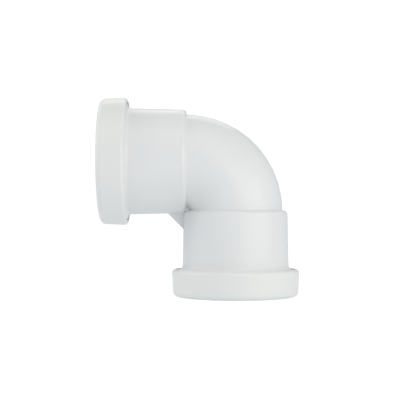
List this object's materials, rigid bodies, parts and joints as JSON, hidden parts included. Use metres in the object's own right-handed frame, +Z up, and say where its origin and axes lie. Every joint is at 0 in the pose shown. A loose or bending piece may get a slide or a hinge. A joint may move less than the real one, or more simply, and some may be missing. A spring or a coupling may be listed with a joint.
{
  "type": "push-fit waste pipe bend",
  "caption": "White push-fit waste bend that turns a drain pipe through a right angle, with a snap cap and a rubber lip seal in the socket at each end.",
  "frame": {"origin": "centre of the outlet mouth, on the flat front of the outlet cap, on which the bend stands", "axes": "+Z up along the outlet socket's axis, -X out of the inlet mouth, Y across the bend's plane of symmetry"},
  "size_m": [0.0765, 0.049, 0.0765],
  "materials": {
    "body_plastic": "satin white polypropylene, as moulded",
    "cap_plastic": "satin white polypropylene, as moulded",
    "seal_rubber": "matt black moulded rubber"
  },
  "bodies": {
    "root": {"bend_body": "body_plastic", "outlet_cap": "cap_plastic", "inlet_cap": "cap_plastic", "outlet_seal": "seal_rubber", "inlet_seal": "seal_rubber"}
  },
  "joints": []
}
